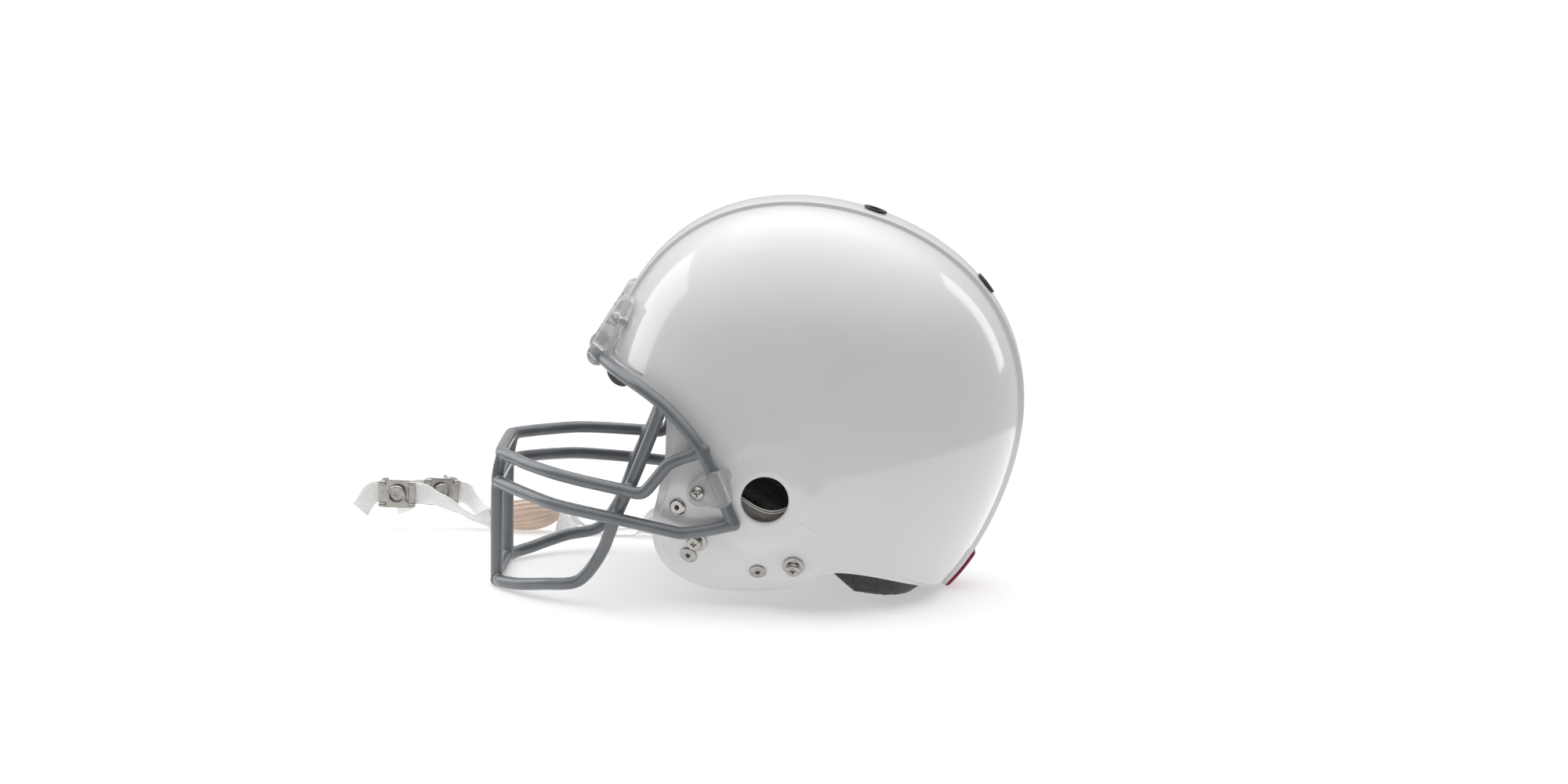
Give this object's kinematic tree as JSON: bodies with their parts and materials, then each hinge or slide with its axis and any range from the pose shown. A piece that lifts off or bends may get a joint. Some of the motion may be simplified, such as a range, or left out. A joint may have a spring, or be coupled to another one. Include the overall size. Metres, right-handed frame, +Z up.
{
  "type": "american football helmet",
  "caption": "Hard-shell football helmet with a padded liner, a coated wire face mask on clear clips and a chin strap with snap buckles.",
  "frame": {"origin": "middle of the line through the two ear holes", "axes": "+X to the back of the head, +Y to the wearer's right, +Z up; the helmet stands on z = -81 mm"},
  "size_m": [0.4843, 0.3258, 0.2687],
  "materials": {
    "shell": "moulded, high gloss",
    "grommet": "matt black rubber",
    "rear_bumper": "plain maroon, satin",
    "nose_bumper": "soft black vinyl",
    "mask": "grey vinyl coating, satin gloss",
    "liner": "black covered foam",
    "jaw_pad": "black vinyl covered foam",
    "liner_tabs": "hook and loop",
    "clip": "clear polycarbonate",
    "hardware": "nickel plated",
    "webbing": "white woven polyester",
    "chin_cup": "tan, ribbed",
    "chin_cup_pad": "tan foam",
    "buckle": "stamped nickel-plated steel"
  },
  "bodies": {
    "helmet": {"brow_wire": "mask", "chin_cup": "chin_cup", "chin_cup_pad": "chin_cup_pad", "chin_loop": "mask", "crown_pad": "liner", "crown_vent_grommet": "grommet", "front_pad": "liner", "left_clip_nuts": "hardware", "left_clip_screws": "hardware", "left_front_post": "mask", "left_jaw_rivets": "hardware", "left_lower_buckle": "buckle", "left_lower_lever_pin": "buckle", "left_lower_snap_socket": "buckle", "left_lower_strap": "webbing", "left_side_clip": "clip", "left_side_pad": "liner", "left_strap_studs": "hardware", "left_top_clip": "clip", "left_upper_buckle": "buckle", "left_upper_lever_pin": "buckle", "left_upper_snap_socket": "buckle", "left_upper_strap": "webbing", "liner_tabs": "liner_tabs", "lower_bar": "mask", "neck_band": "liner", "nose_bumper": "nose_bumper", "rear_bumper": "rear_bumper", "rear_pad": "liner", "rear_vent_grommet": "grommet", "right_clip_nuts": "hardware", "right_clip_screws": "hardware", "right_front_post": "mask", "right_jaw_rivets": "hardware", "right_lower_buckle": "buckle", "right_lower_lever_pin": "buckle", "right_lower_snap_socket": "buckle", "right_lower_strap": "webbing", "right_side_clip": "clip", "right_side_pad": "liner", "right_strap_studs": "hardware", "right_top_clip": "clip", "right_upper_buckle": "buckle", "right_upper_lever_pin": "buckle", "right_upper_snap_socket": "buckle", "right_upper_strap": "webbing", "shell": "shell", "upper_bar": "mask"},
    "left_jaw_pad": {"left_jaw_pad": "jaw_pad"},
    "right_jaw_pad": {"right_jaw_pad": "jaw_pad"},
    "left_lower_cam_lever": {"left_lower_cam_lever": "buckle"},
    "left_upper_cam_lever": {"left_upper_cam_lever": "buckle"},
    "right_lower_cam_lever": {"right_lower_cam_lever": "buckle"},
    "right_upper_cam_lever": {"right_upper_cam_lever": "buckle"}
  },
  "joints": [
    {"name": "left_lower_lever_hinge", "type": "hinge", "parent": "helmet", "child": "left_lower_cam_lever", "pos_m": [-0.24242, 0.17661, -0.06095], "axis": [-0.0936, -0.0339, -0.995], "range_deg": [-85, 15]},
    {"name": "left_upper_lever_hinge", "type": "hinge", "parent": "helmet", "child": "left_upper_cam_lever", "pos_m": [-0.28722, 0.14517, -0.056], "axis": [0, 0, 1], "range_deg": [0, 100]},
    {"name": "right_lower_lever_hinge", "type": "hinge", "parent": "helmet", "child": "right_lower_cam_lever", "pos_m": [0.0263, 0.12182, -0.0474], "axis": [0.5684, -0.3202, -0.7579], "range_deg": [0, 100]},
    {"name": "right_upper_lever_hinge", "type": "hinge", "parent": "helmet", "child": "right_upper_cam_lever", "pos_m": [-0.05285, 0.15727, -0.07], "axis": [0, 0, -1], "range_deg": [0, 100]},
    {"name": "left_jaw_pad_snap", "type": "slide", "parent": "helmet", "child": "left_jaw_pad", "axis": [0, 1, 0], "range_m": [0, 0.015]},
    {"name": "right_jaw_pad_snap", "type": "slide", "parent": "helmet", "child": "right_jaw_pad", "axis": [0, -1, 0], "range_m": [0, 0.015]}
  ]
}
